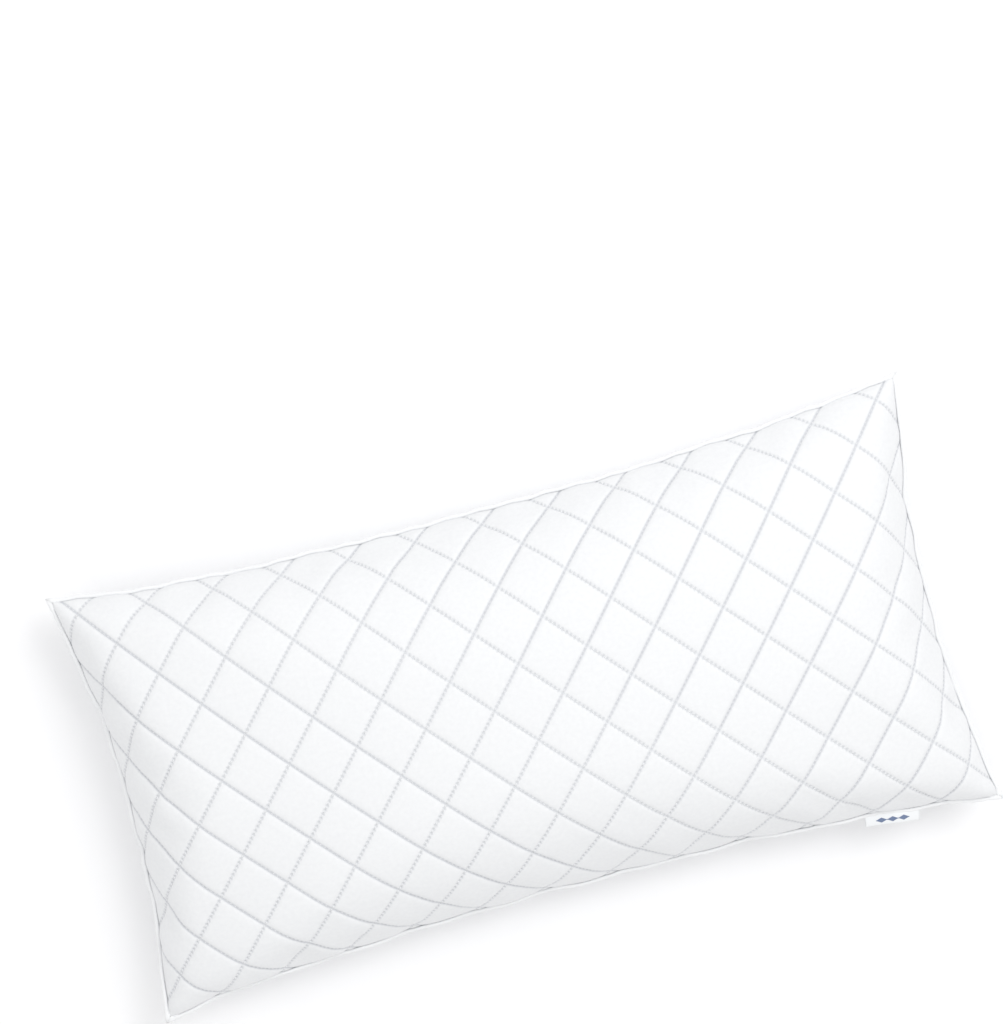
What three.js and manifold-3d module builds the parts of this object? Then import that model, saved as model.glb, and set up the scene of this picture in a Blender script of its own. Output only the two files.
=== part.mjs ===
// A 40 x 80 cm bed pillow in a diamond-quilted microfibre cover.
//
// Frame: the origin is the middle of the flat patch that the pillow lies on, +X runs along the long
// side (the label is at the +X end of the -Y side), +Z is up. Every length is in millimetres.
//
// The cover is two quilted panels, each a sandwich of shell, wadding and lining, sewn together all
// round and filled with loose fibre. Both panels are one surface over the same cloth coordinates
// (along, across), measured on the flat panel from its middle, and every layer lies straight above
// or below its neighbour, so layers keep their gaps whatever the sizes are.

import * as THREE from "three";
import { mergeVertices } from "three/addons/utils/BufferGeometryUtils.js";
import Module from "manifold-3d";

const wasm = await Module();
wasm.setup();

// ---------------------------------------------------------------- driving dimensions

// The panels as they are cut and sewn, lying flat.
const PANEL_LENGTH = 800;
const PANEL_WIDTH = 400;

// What filling does to the outline: corner to corner it gets this much shorter and narrower,
// and the middle of each side is pulled in further still.
const LENGTH_TAKEN_UP = 28;
const WIDTH_TAKEN_UP = 8;
const END_PULL = 17.5;
const SIDE_PULL = 22.5;

// How far the free panels would crown above and below the seam, and the height of the seam
// over the bed, which presses the lower crown flat.
const CROWN = 82;
const SEAM_HEIGHT = 62;

// The layers of one panel. The wadding is squeezed thin where it is sewn into the seam.
const SHELL_THICKNESS = 0.6;
const WADDING_THICKNESS = 5;
const WADDING_AT_SEAM = 0.6;
const LINING_THICKNESS = 0.4;
const LAYER_GAP = 0.3;

// The space between the two linings at the seam, which holds the fill's feather edge.
const PANEL_SPACE_AT_SEAM = 3;

// The quilted diamonds on the flat panel, and where one crossing lies across the panel.
const DIAMOND_LENGTH = 62.6;
const DIAMOND_WIDTH = 68.2;
const CROSSING_OFFSET = -21;

// The quilting thread, drawn as a low ridge, and how far its ends stay from the seam.
const THREAD_WIDTH = 1.2;
const THREAD_HEIGHT = 0.7;
const THREAD_LIFT = 0.35;
const THREAD_END_MARGIN = 4;

// The seam: the thread that closes it, and the lip of turned-in cloth outside the thread.
const SEAM_THREAD_RADIUS = 0.35;
const LIP_WIDTH = 3.2;
const LIP_HEIGHT = 6;
const LIP_CROWN_HEIGHT = 3.4;
const MITRE_GAP = 0.25;

// The label: a satin ribbon folded in half, with its two ends held in the front seam's lip.
const LABEL_WIDTH = 49;
const LABEL_REACH = 12;
const LABEL_TO_CORNER = 122;
const LABEL_PLY = 0.4;
const LABEL_FOLD_SPACE = 0.3;
const LABEL_TO_SEAM_THREAD = 1.6;
const MOTIF_LENGTH = 30;
const MOTIF_WIDTH = 5;
const MOTIF_DIAMONDS = 3;
const MOTIF_THICKNESS = 0.25;

// ---------------------------------------------------------------- derived sizes

const HALF_LENGTH = PANEL_LENGTH / 2;
const HALF_WIDTH = PANEL_WIDTH / 2;
const LIP_OFFSET = LAYER_GAP + 2 * SEAM_THREAD_RADIUS + LAYER_GAP;
const CORNER_X = (PANEL_LENGTH - LENGTH_TAKEN_UP) / 2 - LIP_OFFSET - LIP_WIDTH;
const CORNER_Y = (PANEL_WIDTH - WIDTH_TAKEN_UP) / 2 - LIP_OFFSET - LIP_WIDTH;

// Cloth lies unstretched over the crown, so the rest of its length bunches down at the edges.
const LENGTH_SLACK = HALF_LENGTH / (CORNER_X - END_PULL) - 1;
const WIDTH_SLACK = HALF_WIDTH / (CORNER_Y - SIDE_PULL) - 1;

const HALF_DIAMOND_X = DIAMOND_LENGTH / 2;
const HALF_DIAMOND_Y = DIAMOND_WIDTH / 2;

const LABEL_THICKNESS = 2 * LABEL_PLY + LABEL_FOLD_SPACE;
const LABEL_HELD = LIP_WIDTH + LAYER_GAP - LABEL_TO_SEAM_THREAD;

// How far inside the panel's outer face each layer's two faces lie: in the field, and at the seam.
const step = (from, field, seam = field) => ({ field: from.field + field, seam: from.seam + seam });
const FACE = { field: 0, seam: 0 };
const SHELL_BACK = step(FACE, SHELL_THICKNESS);
const WADDING_FACE = step(SHELL_BACK, LAYER_GAP);
const WADDING_BACK = step(WADDING_FACE, WADDING_THICKNESS, WADDING_AT_SEAM);
const LINING_FACE = step(WADDING_BACK, LAYER_GAP);
const LINING_BACK = step(LINING_FACE, LINING_THICKNESS);
const FILL_UNDER_TOP = step(LINING_BACK, LAYER_GAP);
const FILL_OVER_BOTTOM = step(LINING_BACK, THREAD_LIFT + THREAD_HEIGHT + LAYER_GAP);
const EDGE_HALF_HEIGHT = PANEL_SPACE_AT_SEAM / 2 + LINING_BACK.seam;

// ---------------------------------------------------------------- the pillow's surface

// A share of the way from the middle to the seam, with the slack cloth bunched near the seam.
const bunched = (share, slack, power) => share * (1 + slack * (1 - Math.abs(share) ** power));

// How strongly the filling pulls a side in: fully at its middle and not at all at its corners.
const pulledIn = (share) => 0.8 * (1 - share ** 4) + 0.2 * (1 - share ** 16);

// The crown's height over the seam as a share: a long flat ridge that falls off to all four sides.
const crownShare = (u, v) => (1 - Math.abs(u) ** 4.5) * (1 - Math.abs(v) ** 2.35);

// The place of a cloth point as shares of the filled half length and half width.
function shares(along, across) {
  return [
    bunched(along / HALF_LENGTH, LENGTH_SLACK, 4),
    bunched(across / HALF_WIDTH, WIDTH_SLACK, 2),
  ];
}

// The same place seen from above; outward moves the whole outline out by that much.
function planPoint(along, across, outward = 0) {
  const [u, v] = shares(along, across);
  return [
    u * (CORNER_X + outward - END_PULL * pulledIn(v)),
    v * (CORNER_Y + outward - SIDE_PULL * pulledIn(u)),
  ];
}

// A point on a face of the top or the bottom panel, at a depth inside the panel's outer face.
function panelPoint(side, depth, along, across, lift = 0) {
  const share = crownShare(...shares(along, across));
  const inside = depth.seam + (depth.field - depth.seam) * Math.min(1, 3 * share);
  const outerTop = SEAM_HEIGHT + EDGE_HALF_HEIGHT + CROWN * share;
  const outerBottom = Math.max(0, SEAM_HEIGHT - EDGE_HALF_HEIGHT - CROWN * share);
  const z = side === "top" ? outerTop - inside : outerBottom + inside;
  return new THREE.Vector3(...planPoint(along, across), z + lift);
}

// ---------------------------------------------------------------- the quilt on the flat panel

const crossing = (column, row) => [column * HALF_DIAMOND_X, CROSSING_OFFSET + row * HALF_DIAMOND_Y];
const LAST_COLUMN = Math.ceil(HALF_LENGTH / HALF_DIAMOND_X) + 1;
const LAST_ROW = Math.ceil((HALF_WIDTH + Math.abs(CROSSING_OFFSET)) / HALF_DIAMOND_Y) + 1;

// Every (column, row) whose sum is even is a crossing of two quilting lines, and odd is a diamond.
function* latticePlaces(odd) {
  for (let column = -LAST_COLUMN; column <= LAST_COLUMN; column++) {
    for (let row = -LAST_ROW; row <= LAST_ROW; row++) {
      if (Math.abs(column + row) % 2 === odd) yield [column, row];
    }
  }
}

// The point where an edge meets the line axis = limit, worked out the same from either end.
function edgeMeets(a, b, axis, limit) {
  const [from, to] = a[0] < b[0] || (a[0] === b[0] && a[1] < b[1]) ? [a, b] : [b, a];
  const share = (limit - from[axis]) / (to[axis] - from[axis]);
  const point = [from[0] + share * (to[0] - from[0]), from[1] + share * (to[1] - from[1])];
  point[axis] = limit;
  return point;
}

// The part of a flat polygon on one side of the line axis = limit.
function keepInside(polygon, axis, limit) {
  const inside = (point) => (limit > 0 ? point[axis] <= limit : point[axis] >= limit);
  return polygon.flatMap((point, i) => {
    const next = polygon[(i + 1) % polygon.length];
    const kept = inside(point) ? [point] : [];
    if (inside(point) !== inside(next)) kept.push(edgeMeets(point, next, axis, limit));
    return kept;
  });
}

// The flat panel as points and triangles, each diamond split in two along its length.
function quiltPatch() {
  const points = [];
  const numbers = new Map();
  const triangles = [];
  const numberOf = (point) => {
    const key = point.map((x) => x.toFixed(3)).join();
    if (!numbers.has(key)) numbers.set(key, points.push(point) - 1);
    return numbers.get(key);
  };
  for (const [column, row] of latticePlaces(1)) {
    const [left, right] = [crossing(column - 1, row), crossing(column + 1, row)];
    for (const half of [[left, right, crossing(column, row + 1)], [left, crossing(column, row - 1), right]]) {
      let polygon = keepInside(keepInside(half, 0, HALF_LENGTH), 0, -HALF_LENGTH);
      polygon = keepInside(keepInside(polygon, 1, HALF_WIDTH), 1, -HALF_WIDTH);
      const corners = polygon.map(numberOf);
      for (let i = 2; i < corners.length; i++) {
        const triangle = [corners[0], corners[i - 1], corners[i]];
        if (new Set(triangle).size === 3) triangles.push(triangle);
      }
    }
  }
  return { points, triangles, border: borderOf(triangles) };
}

// The patch's border edges, one after the other all the way round.
function borderOf(triangles) {
  const edges = new Set(triangles.flatMap(([a, b, c]) => [`${a},${b}`, `${b},${c}`, `${c},${a}`]));
  const next = new Map();
  for (const edge of edges) {
    const [from, to] = edge.split(",").map(Number);
    if (!edges.has(`${to},${from}`)) next.set(from, to);
  }
  const loop = [next.keys().next().value];
  while (next.get(loop.at(-1)) !== loop[0]) loop.push(next.get(loop.at(-1)));
  return loop;
}

const QUILT = quiltPatch();

// ---------------------------------------------------------------- solids from faces

// A geometry from a list of points and a list of faces, each three or four point numbers.
function solid(points, faces) {
  const geometry = new THREE.BufferGeometry();
  geometry.setAttribute(
    "position",
    new THREE.Float32BufferAttribute(points.flatMap((p) => [p.x, p.y, p.z]), 3),
  );
  const triangles = faces.flatMap(([a, b, c, d]) => (d === undefined ? [a, b, c] : [a, b, c, a, c, d]));
  geometry.setIndex(triangles);
  geometry.computeVertexNormals();
  return geometry;
}

// The closed solid between two faces, each given as (along, across) => point.
function between(upper, lower) {
  const count = QUILT.points.length;
  const points = [upper, lower].flatMap((face) => QUILT.points.map((p) => face(...p)));
  const faces = QUILT.triangles.flatMap(([a, b, c]) => [[a, b, c], [a + count, c + count, b + count]]);
  QUILT.border.forEach((from, i) => {
    const to = QUILT.border[(i + 1) % QUILT.border.length];
    faces.push([from, from + count, to + count, to]);
  });
  return solid(points, faces);
}

// A layer of one panel, from its outer face's depth to its inner face's depth.
function panelLayer(side, outer, inner) {
  const face = (depth) => (along, across) => panelPoint(side, depth, along, across);
  return side === "top" ? between(face(outer), face(inner)) : between(face(inner), face(outer));
}

// A bar swept through rings of points, closed on itself or with its two ends capped.
function sweep(rings, closed) {
  const size = rings[0].length;
  const faces = [];
  const last = closed ? rings.length : rings.length - 1;
  for (let i = 0; i < last; i++) {
    const here = i * size;
    const there = ((i + 1) % rings.length) * size;
    for (let k = 0; k < size; k++) {
      const after = (k + 1) % size;
      faces.push([here + k, there + k, there + after, here + after]);
    }
  }
  if (!closed) {
    const end = (rings.length - 1) * size;
    for (let k = 2; k < size; k++) faces.push([0, k - 1, k], [end, end + k, end + k - 1]);
  }
  return solid(rings.flat(), faces);
}

// ---------------------------------------------------------------- booleans

function toManifold(geometry) {
  const bare = geometry.clone();
  bare.deleteAttribute("normal");
  bare.deleteAttribute("uv");
  const merged = mergeVertices(bare, 1e-4);
  const mesh = new wasm.Mesh({
    numProp: 3,
    vertProperties: new Float32Array(merged.attributes.position.array),
    triVerts: new Uint32Array(merged.index.array),
  });
  return new wasm.Manifold(mesh);
}

function fromManifold(body) {
  const mesh = body.getMesh();
  const geometry = new THREE.BufferGeometry();
  geometry.setAttribute("position", new THREE.BufferAttribute(mesh.vertProperties, 3));
  geometry.setIndex(new THREE.BufferAttribute(mesh.triVerts, 1));
  geometry.computeVertexNormals();
  return geometry;
}

// ---------------------------------------------------------------- quilting thread

// A crossing's four corners as steps on the flat panel: 0 east, 1 north, 2 west, 3 south.
const RIDGE_REACH = THREAD_WIDTH / Math.SQRT2;
const CORNERS = [[RIDGE_REACH, 0], [0, RIDGE_REACH], [-RIDGE_REACH, 0], [0, -RIDGE_REACH]];

// The four ways a quilting line leaves a crossing, with the crossing's corners on its left and
// right as seen from above when going that way, and the next crossing's corners that it meets.
const WAYS = [
  { column: 1, row: 1, left: 1, right: 0, arrivesLeft: 2, arrivesRight: 3 },
  { column: 1, row: -1, left: 0, right: 3, arrivesLeft: 1, arrivesRight: 2 },
  { column: -1, row: -1, left: 3, right: 2 },
  { column: -1, row: 1, left: 2, right: 1 },
];

const moved = (flat, by) => [flat[0] + by[0], flat[1] + by[1]];

// A flat point's weights in one of the patch's triangles, all from 0 to 1 if it lies inside.
function weightsIn([a, b, c], [x, y]) {
  const area = (p, q, r) => (q[0] - p[0]) * (r[1] - p[1]) - (q[1] - p[1]) * (r[0] - p[0]);
  const whole = area(a, b, c);
  return [area([x, y], b, c) / whole, area(a, [x, y], c) / whole, area(a, b, [x, y]) / whole];
}

// A point on the folded cloth itself, which is straight between the patch's points.
function clothPoint(side, depth, flat, lift) {
  const corners = (triangle) => triangle.map((i) => QUILT.points[i]);
  const least = (triangle) => Math.min(...weightsIn(corners(triangle), flat));
  const home = QUILT.triangles.find((triangle) => least(triangle) > -1e-9);
  const point = new THREE.Vector3(0, 0, lift);
  weightsIn(corners(home), flat).forEach((weight, k) => {
    point.addScaledVector(panelPoint(side, depth, ...QUILT.points[home[k]]), weight);
  });
  return point;
}

// Where a line ends near the seam, on its way from one flat point to another.
function lineEnd(from, to) {
  const room = (axis, half) => {
    const way = to[axis] - from[axis];
    return (half - THREAD_END_MARGIN - Math.sign(way) * from[axis]) / Math.abs(way);
  };
  const share = Math.min(1, room(0, HALF_LENGTH), room(1, HALF_WIDTH));
  return [from[0] + share * (to[0] - from[0]), from[1] + share * (to[1] - from[1])];
}

// The three sides of a ridge between two sets of (peak, left, right).
function ridge([peakA, leftA, rightA], [peakB, leftB, rightB]) {
  return [[peakA, peakB, leftB, leftA], [peakA, rightA, rightB, peakB], [leftA, leftB, rightB, rightA]];
}

// One net of ridges along every quilting line of a panel's face.
function quiltThread(side, depth) {
  const points = [];
  const faces = [];
  const peaks = new Map();
  const onFace = (flat) => clothPoint(side, depth, flat, THREAD_LIFT);
  const addPeak = (flat) => points.push(onFace(flat).add(new THREE.Vector3(0, 0, THREAD_HEIGHT))) - 1;
  const isInside = ([along, across]) =>
    Math.abs(along) < HALF_LENGTH - THREAD_END_MARGIN && Math.abs(across) < HALF_WIDTH - THREAD_END_MARGIN;
  for (const [column, row] of latticePlaces(0)) {
    const flat = crossing(column, row);
    if (!isInside(flat)) continue;
    const peak = addPeak(flat);
    peaks.set(`${column},${row}`, peak);
    for (const corner of CORNERS) points.push(onFace(moved(flat, corner)));
    faces.push([peak + 3, peak + 2, peak + 1, peak + 4]);
  }
  for (const [key, peak] of peaks) {
    const [column, row] = key.split(",").map(Number);
    for (const way of WAYS) {
      const here = [peak, peak + 1 + way.left, peak + 1 + way.right];
      const next = [column + way.column, row + way.row];
      const other = peaks.get(next.join());
      if (other === undefined) {
        const flat = lineEnd(crossing(column, row), crossing(...next));
        const end = addPeak(flat);
        for (const corner of [way.left, way.right]) points.push(onFace(moved(flat, CORNERS[corner])));
        faces.push(...ridge(here, [end, end + 1, end + 2]), [end, end + 2, end + 1]);
      } else if (way.column > 0) {
        // A ridge between two crossings is made once, from the crossing at its -X end.
        faces.push(...ridge(here, [other, other + 1 + way.arrivesLeft, other + 1 + way.arrivesRight]));
      }
    }
  }
  return solid(points, faces);
}

// ---------------------------------------------------------------- seam

// The border points of one side, in order, as places outside the outline at the seam's height.
function sideOf(axis, sign) {
  const half = axis === 0 ? HALF_LENGTH : HALF_WIDTH;
  const onThisSide = (point) => Math.abs(point[axis] - sign * half) < 1e-6;
  const onSide = QUILT.border.map((i) => QUILT.points[i]).filter(onThisSide);
  const inward = axis === 0 ? sign : -sign;
  return onSide.sort((a, b) => inward * (a[1 - axis] - b[1 - axis]));
}

// The lip of one side: a bar outside the seam thread, mitred at its two corners.
function seamLip(axis, sign) {
  const section = [
    [LIP_OFFSET, -LIP_HEIGHT / 2],
    [LIP_OFFSET + LIP_WIDTH, -LIP_CROWN_HEIGHT / 2],
    [LIP_OFFSET + LIP_WIDTH, LIP_CROWN_HEIGHT / 2],
    [LIP_OFFSET, LIP_HEIGHT / 2],
  ];
  const side = sideOf(axis, sign);
  const rings = side.map((flat, i) =>
    section.map(([outward, rise]) => {
      const place = planPoint(...flat, outward);
      if (i === 0 || i === side.length - 1) place[1 - axis] -= Math.sign(place[1 - axis]) * MITRE_GAP;
      return new THREE.Vector3(place[0], place[1], SEAM_HEIGHT + rise);
    }),
  );
  return sweep(rings, false);
}

// The lockstitch that joins the two panels, one ring all the way round.
function seamThread() {
  const middle = LAYER_GAP + SEAM_THREAD_RADIUS;
  const section = [
    [middle, -SEAM_THREAD_RADIUS],
    [middle + SEAM_THREAD_RADIUS, 0],
    [middle, SEAM_THREAD_RADIUS],
    [middle - SEAM_THREAD_RADIUS, 0],
  ];
  const rings = QUILT.border.map((i) =>
    section.map(([outward, rise]) => {
      const [x, y] = planPoint(...QUILT.points[i], outward);
      return new THREE.Vector3(x, y, SEAM_HEIGHT + rise);
    }),
  );
  return sweep(rings, true);
}

// ---------------------------------------------------------------- label

// The label's own frame: origin at its cut ends inside the lip, +X along the seam, -Y outwards.
function labelFrame() {
  const along = HALF_LENGTH - LABEL_TO_CORNER;
  const outward = LIP_OFFSET + LIP_WIDTH - LABEL_HELD;
  const [x, y] = planPoint(along, -HALF_WIDTH, outward);
  const [xAfter, yAfter] = planPoint(along + LABEL_WIDTH / 2, -HALF_WIDTH, outward);
  const frame = new THREE.Group();
  frame.position.set(x, y, SEAM_HEIGHT);
  frame.rotation.z = Math.atan2(yAfter - y, xAfter - x);
  frame.updateMatrixWorld(true);
  return frame;
}

// A section in (outward, up), pushed along the seam for the label's width and centred on it.
function alongSeam(section, width) {
  const options = { depth: width, bevelEnabled: false, curveSegments: 6 };
  const geometry = new THREE.ExtrudeGeometry(section, options);
  const turned = new THREE.Matrix4().makeBasis(
    new THREE.Vector3(0, -1, 0),
    new THREE.Vector3(0, 0, 1),
    new THREE.Vector3(-1, 0, 0),
  );
  return geometry.applyMatrix4(turned).translate(width / 2, 0, 0);
}

// Two plies joined by the fold at their outer end.
function labelRibbon() {
  const outer = LABEL_THICKNESS / 2;
  const inner = LABEL_FOLD_SPACE / 2;
  const foldAt = LABEL_HELD + LABEL_REACH - outer;
  const section = new THREE.Shape();
  section.moveTo(0, -outer);
  section.lineTo(foldAt, -outer);
  section.absarc(foldAt, 0, outer, -Math.PI / 2, Math.PI / 2, false);
  section.lineTo(0, outer);
  section.lineTo(0, inner);
  section.lineTo(foldAt, inner);
  section.absarc(foldAt, 0, inner, Math.PI / 2, -Math.PI / 2, true);
  section.lineTo(0, -inner);
  return alongSeam(section, LABEL_WIDTH);
}

// The opening that the label passes through, longer than the lip is wide on both sides.
function labelSlot() {
  const through = 4 * LIP_WIDTH;
  return new THREE.BoxGeometry(LABEL_WIDTH + 2 * LAYER_GAP, through, LABEL_THICKNESS + 2 * LAYER_GAP);
}

// A row of small diamonds joined by a bar, woven on the upper ply.
function labelMotif() {
  const pitch = MOTIF_LENGTH / MOTIF_DIAMONDS;
  const bar = MOTIF_WIDTH / 10;
  const neck = (bar * pitch) / MOTIF_WIDTH;
  const outline = new THREE.Shape();
  const middles = Array.from({ length: MOTIF_DIAMONDS }, (_, i) => (i + 0.5) * pitch - MOTIF_LENGTH / 2);
  outline.moveTo(-MOTIF_LENGTH / 2, 0);
  middles.forEach((x, i) => {
    if (i > 0) outline.lineTo(x - pitch / 2 + neck, -bar);
    outline.lineTo(x, -MOTIF_WIDTH / 2);
    if (i < MOTIF_DIAMONDS - 1) outline.lineTo(x + pitch / 2 - neck, -bar);
  });
  outline.lineTo(MOTIF_LENGTH / 2, 0);
  middles.reverse().forEach((x, i) => {
    if (i > 0) outline.lineTo(x + pitch / 2 - neck, bar);
    outline.lineTo(x, MOTIF_WIDTH / 2);
    if (i < MOTIF_DIAMONDS - 1) outline.lineTo(x - pitch / 2 + neck, bar);
  });
  const geometry = new THREE.ExtrudeGeometry(outline, { depth: MOTIF_THICKNESS, bevelEnabled: false });
  return geometry.translate(0, -(LABEL_HELD + LABEL_REACH / 2), LABEL_THICKNESS / 2 + LAYER_GAP);
}

// ---------------------------------------------------------------- materials and assembly

const cloth = (color, roughness) => new THREE.MeshStandardMaterial({ color, roughness, metalness: 0 });
const microfibre = () => cloth(0xf5f6f7, 0.75);
const wadding = () => cloth(0xeeeeea, 0.95);
const lining = () => cloth(0xe6e8ea, 0.9);
const fibre = () => cloth(0xf2f1ec, 1);
const thread = () => cloth(0xdfe2e6, 0.6);
const satin = () => cloth(0xfafbfc, 0.4);
const woven = () => cloth(0x6f809c, 0.55);

const pillow = new THREE.Group();

function addPiece(name, geometry, material, parent = pillow) {
  const mesh = new THREE.Mesh(geometry, material);
  mesh.name = name;
  parent.add(mesh);
}

for (const side of ["top", "bottom"]) {
  addPiece(`${side}_shell`, panelLayer(side, FACE, SHELL_BACK), microfibre());
  addPiece(`${side}_wadding`, panelLayer(side, WADDING_FACE, WADDING_BACK), wadding());
  addPiece(`${side}_lining`, panelLayer(side, LINING_FACE, LINING_BACK), lining());
}

// The top panel shows its needle thread on the face. The bottom panel's face is pressed on the
// bed, so its thread is the bobbin thread that lies inside, on the lining.
addPiece("top_quilt_thread", quiltThread("top", FACE), thread());
addPiece("bottom_quilt_thread", quiltThread("bottom", LINING_BACK), thread());

const fillFace = (side, depth) => (along, across) => panelPoint(side, depth, along, across);
addPiece(
  "fibre_fill",
  between(fillFace("top", FILL_UNDER_TOP), fillFace("bottom", FILL_OVER_BOTTOM)),
  fibre(),
);

addPiece("seam_thread", seamThread(), thread());
const label = labelFrame();
pillow.add(label);
const slot = toManifold(labelSlot().applyMatrix4(label.matrixWorld));
const frontLip = fromManifold(toManifold(seamLip(1, -1)).subtract(slot));
addPiece("seam_lip_front", frontLip, microfibre());
addPiece("seam_lip_back", seamLip(1, 1), microfibre());
addPiece("seam_lip_left", seamLip(0, -1), microfibre());
addPiece("seam_lip_right", seamLip(0, 1), microfibre());
addPiece("label_ribbon", labelRibbon(), satin(), label);
addPiece("label_motif", labelMotif(), woven(), label);

export default pillow;
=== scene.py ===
import math

import bpy
import numpy as np
from mathutils import Matrix, Vector, noise


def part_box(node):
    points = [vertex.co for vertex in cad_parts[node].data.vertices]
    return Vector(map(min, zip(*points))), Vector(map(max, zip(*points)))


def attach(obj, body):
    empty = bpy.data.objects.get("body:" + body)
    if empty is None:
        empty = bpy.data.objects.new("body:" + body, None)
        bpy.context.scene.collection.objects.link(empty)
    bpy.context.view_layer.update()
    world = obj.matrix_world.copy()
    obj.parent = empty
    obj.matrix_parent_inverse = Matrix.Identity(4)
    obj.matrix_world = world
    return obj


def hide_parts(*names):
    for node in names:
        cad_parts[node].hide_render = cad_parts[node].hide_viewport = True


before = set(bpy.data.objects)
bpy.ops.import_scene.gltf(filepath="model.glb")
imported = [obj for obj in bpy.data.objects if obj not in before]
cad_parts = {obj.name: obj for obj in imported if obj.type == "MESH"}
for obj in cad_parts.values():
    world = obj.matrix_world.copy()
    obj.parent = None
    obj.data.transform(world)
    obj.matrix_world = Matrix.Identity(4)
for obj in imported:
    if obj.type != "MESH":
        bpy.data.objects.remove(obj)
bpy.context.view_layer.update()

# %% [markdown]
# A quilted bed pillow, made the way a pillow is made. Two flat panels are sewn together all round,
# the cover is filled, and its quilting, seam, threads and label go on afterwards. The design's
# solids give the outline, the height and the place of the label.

# %% [markdown]
# The cover is cut from quilted cloth, so its own sizes are flat ones: the panel's length and width,
# and the diamonds sewn on it. Every later piece is placed in these cloth coordinates, measured from
# the middle of the panel, and is then carried onto the filled pillow. The quilting lines are of two
# families, falling and rising towards +X, and the falling ones are always named first.

# %% Sizes of the flat cover, in metres
MM = 0.001
HALF_LENGTH = 400 * MM
HALF_WIDTH = 200 * MM
HALF_DIAMOND_X = 31.3 * MM
HALF_DIAMOND_Y = 34.1 * MM
CROSSING_OFFSET = -21 * MM
STITCHES_PER_SIDE = 11
DIAMOND_SIDE = math.hypot(HALF_DIAMOND_X, HALF_DIAMOND_Y)
STITCH_PITCH = DIAMOND_SIDE / STITCHES_PER_SIDE
LINE_SPACING = 2 * HALF_DIAMOND_X * HALF_DIAMOND_Y / DIAMOND_SIDE
# The falling lines' stitches stop this far short of the rising lines.
CROSSING_GAP = 2.6 * MM
print(f"diamond side {DIAMOND_SIDE / MM:.1f} mm, quilting lines {LINE_SPACING / MM:.1f} mm apart")


# %% [markdown]
# Every finish below starts from the same three tools: one turns a colour picked as sRGB into the
# linear values that Blender's sockets hold, one adds a node with its settings and links, and one
# starts a material whose shader is set to a real material's constants.

# %% Colour and node helpers
def linear(hex_colour):
    """The linear RGBA of an sRGB hex colour."""
    channels = [int(hex_colour[i:i + 2], 16) / 255 for i in (1, 3, 5)]
    return [c / 12.92 if c <= 0.04045 else ((c + 0.055) / 1.055) ** 2.4 for c in channels] + [1.0]


def add_node(tree, kind, links=None, inputs=None, **settings):
    """Adds a node with its settings, its fixed inputs, and links from other nodes' outputs."""
    node = tree.nodes.new(kind)
    for name, value in settings.items():
        setattr(node, name, value)
    for socket, value in (inputs or {}).items():
        node.inputs[socket].default_value = value
    for socket, source in (links or {}).items():
        tree.links.new(source, node.inputs[socket])
    return node


def new_material(name, hex_colour, roughness, **constants):
    """A material with a Principled shader set to constants, ready for its pattern nodes."""
    material = bpy.data.materials.new(name)
    material.use_nodes = True
    shader = material.node_tree.nodes["Principled BSDF"]
    values = {"Base Color": linear(hex_colour), "Roughness": roughness, "Metallic": 0.0}
    values.update({socket.replace("_", " "): value for socket, value in constants.items()})
    for socket, value in values.items():
        shader.inputs[socket].default_value = value
    return material, material.node_tree, shader


# %% [markdown]
# Filling is what gives a pillow its form, and no formula knows it as well as cloth does: the middle
# rises, the sides are drawn in and the corners stay behind as flat pointed ears. So the two flat
# panels are made as one closed bag of small squares that share their border, and Blender's Cloth
# blows it up with an even pressure while it lies on a floor under its own weight.

# %% The flat bag
CELL = 10 * MM
COLUMNS = round(2 * HALF_LENGTH / CELL)
ROWS = round(2 * HALF_WIDTH / CELL)
START_HEIGHT = 60 * MM
START_SPACE = 4 * MM


def flat_bag():
    """Points and faces of the empty bag, and the point numbers as [panel, column, row]."""
    numbers = np.zeros((2, COLUMNS + 1, ROWS + 1), int)
    points, faces = [], []
    for panel, rise in ((0, START_SPACE), (1, -START_SPACE)):
        for i in range(COLUMNS + 1):
            for j in range(ROWS + 1):
                on_border = i in (0, COLUMNS) or j in (0, ROWS)
                if on_border and panel == 1:
                    numbers[1, i, j] = numbers[0, i, j]
                    continue
                numbers[panel, i, j] = len(points)
                height = START_HEIGHT + (0 if on_border else rise)
                points.append((i * CELL - HALF_LENGTH, j * CELL - HALF_WIDTH, height))
        for i in range(COLUMNS):
            for j in range(ROWS):
                n = numbers[panel]
                face = [n[i, j], n[i + 1, j], n[i + 1, j + 1], n[i, j + 1]]
                faces.append([int(k) for k in (face if panel == 0 else face[::-1])])
    return points, faces, numbers


bag_points, bag_faces, bag_numbers = flat_bag()
print("flat bag:", len(bag_points), "points")

# %% Fill the bag
FILL_FRAMES = 12
CLOTH_GAP = 2 * MM
CLOTH_SETTINGS = {
    "quality": 6,
    "mass": 0.01,
    "tension_stiffness": 30,
    "compression_stiffness": 5,
    "shear_stiffness": 10,
    "bending_stiffness": 2,
    "air_damping": 5,
    "use_pressure": True,
    "uniform_pressure_force": 5.0,
}


def add_mesh(name, points, faces):
    """A new object from points and faces, shaded smooth."""
    mesh = bpy.data.meshes.new(name)
    mesh.from_pydata([tuple(p) for p in points], [], faces)
    mesh.update()
    mesh.polygons.foreach_set("use_smooth", [True] * len(mesh.polygons))
    piece = bpy.data.objects.new(name, mesh)
    bpy.context.scene.collection.objects.link(piece)
    return piece


def add_floor(name, half_size):
    """One large square at height 0."""
    s = half_size
    return add_mesh(name, [(-s, -s, 0), (s, -s, 0), (s, s, 0), (-s, s, 0)], [(0, 1, 2, 3)])


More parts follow.
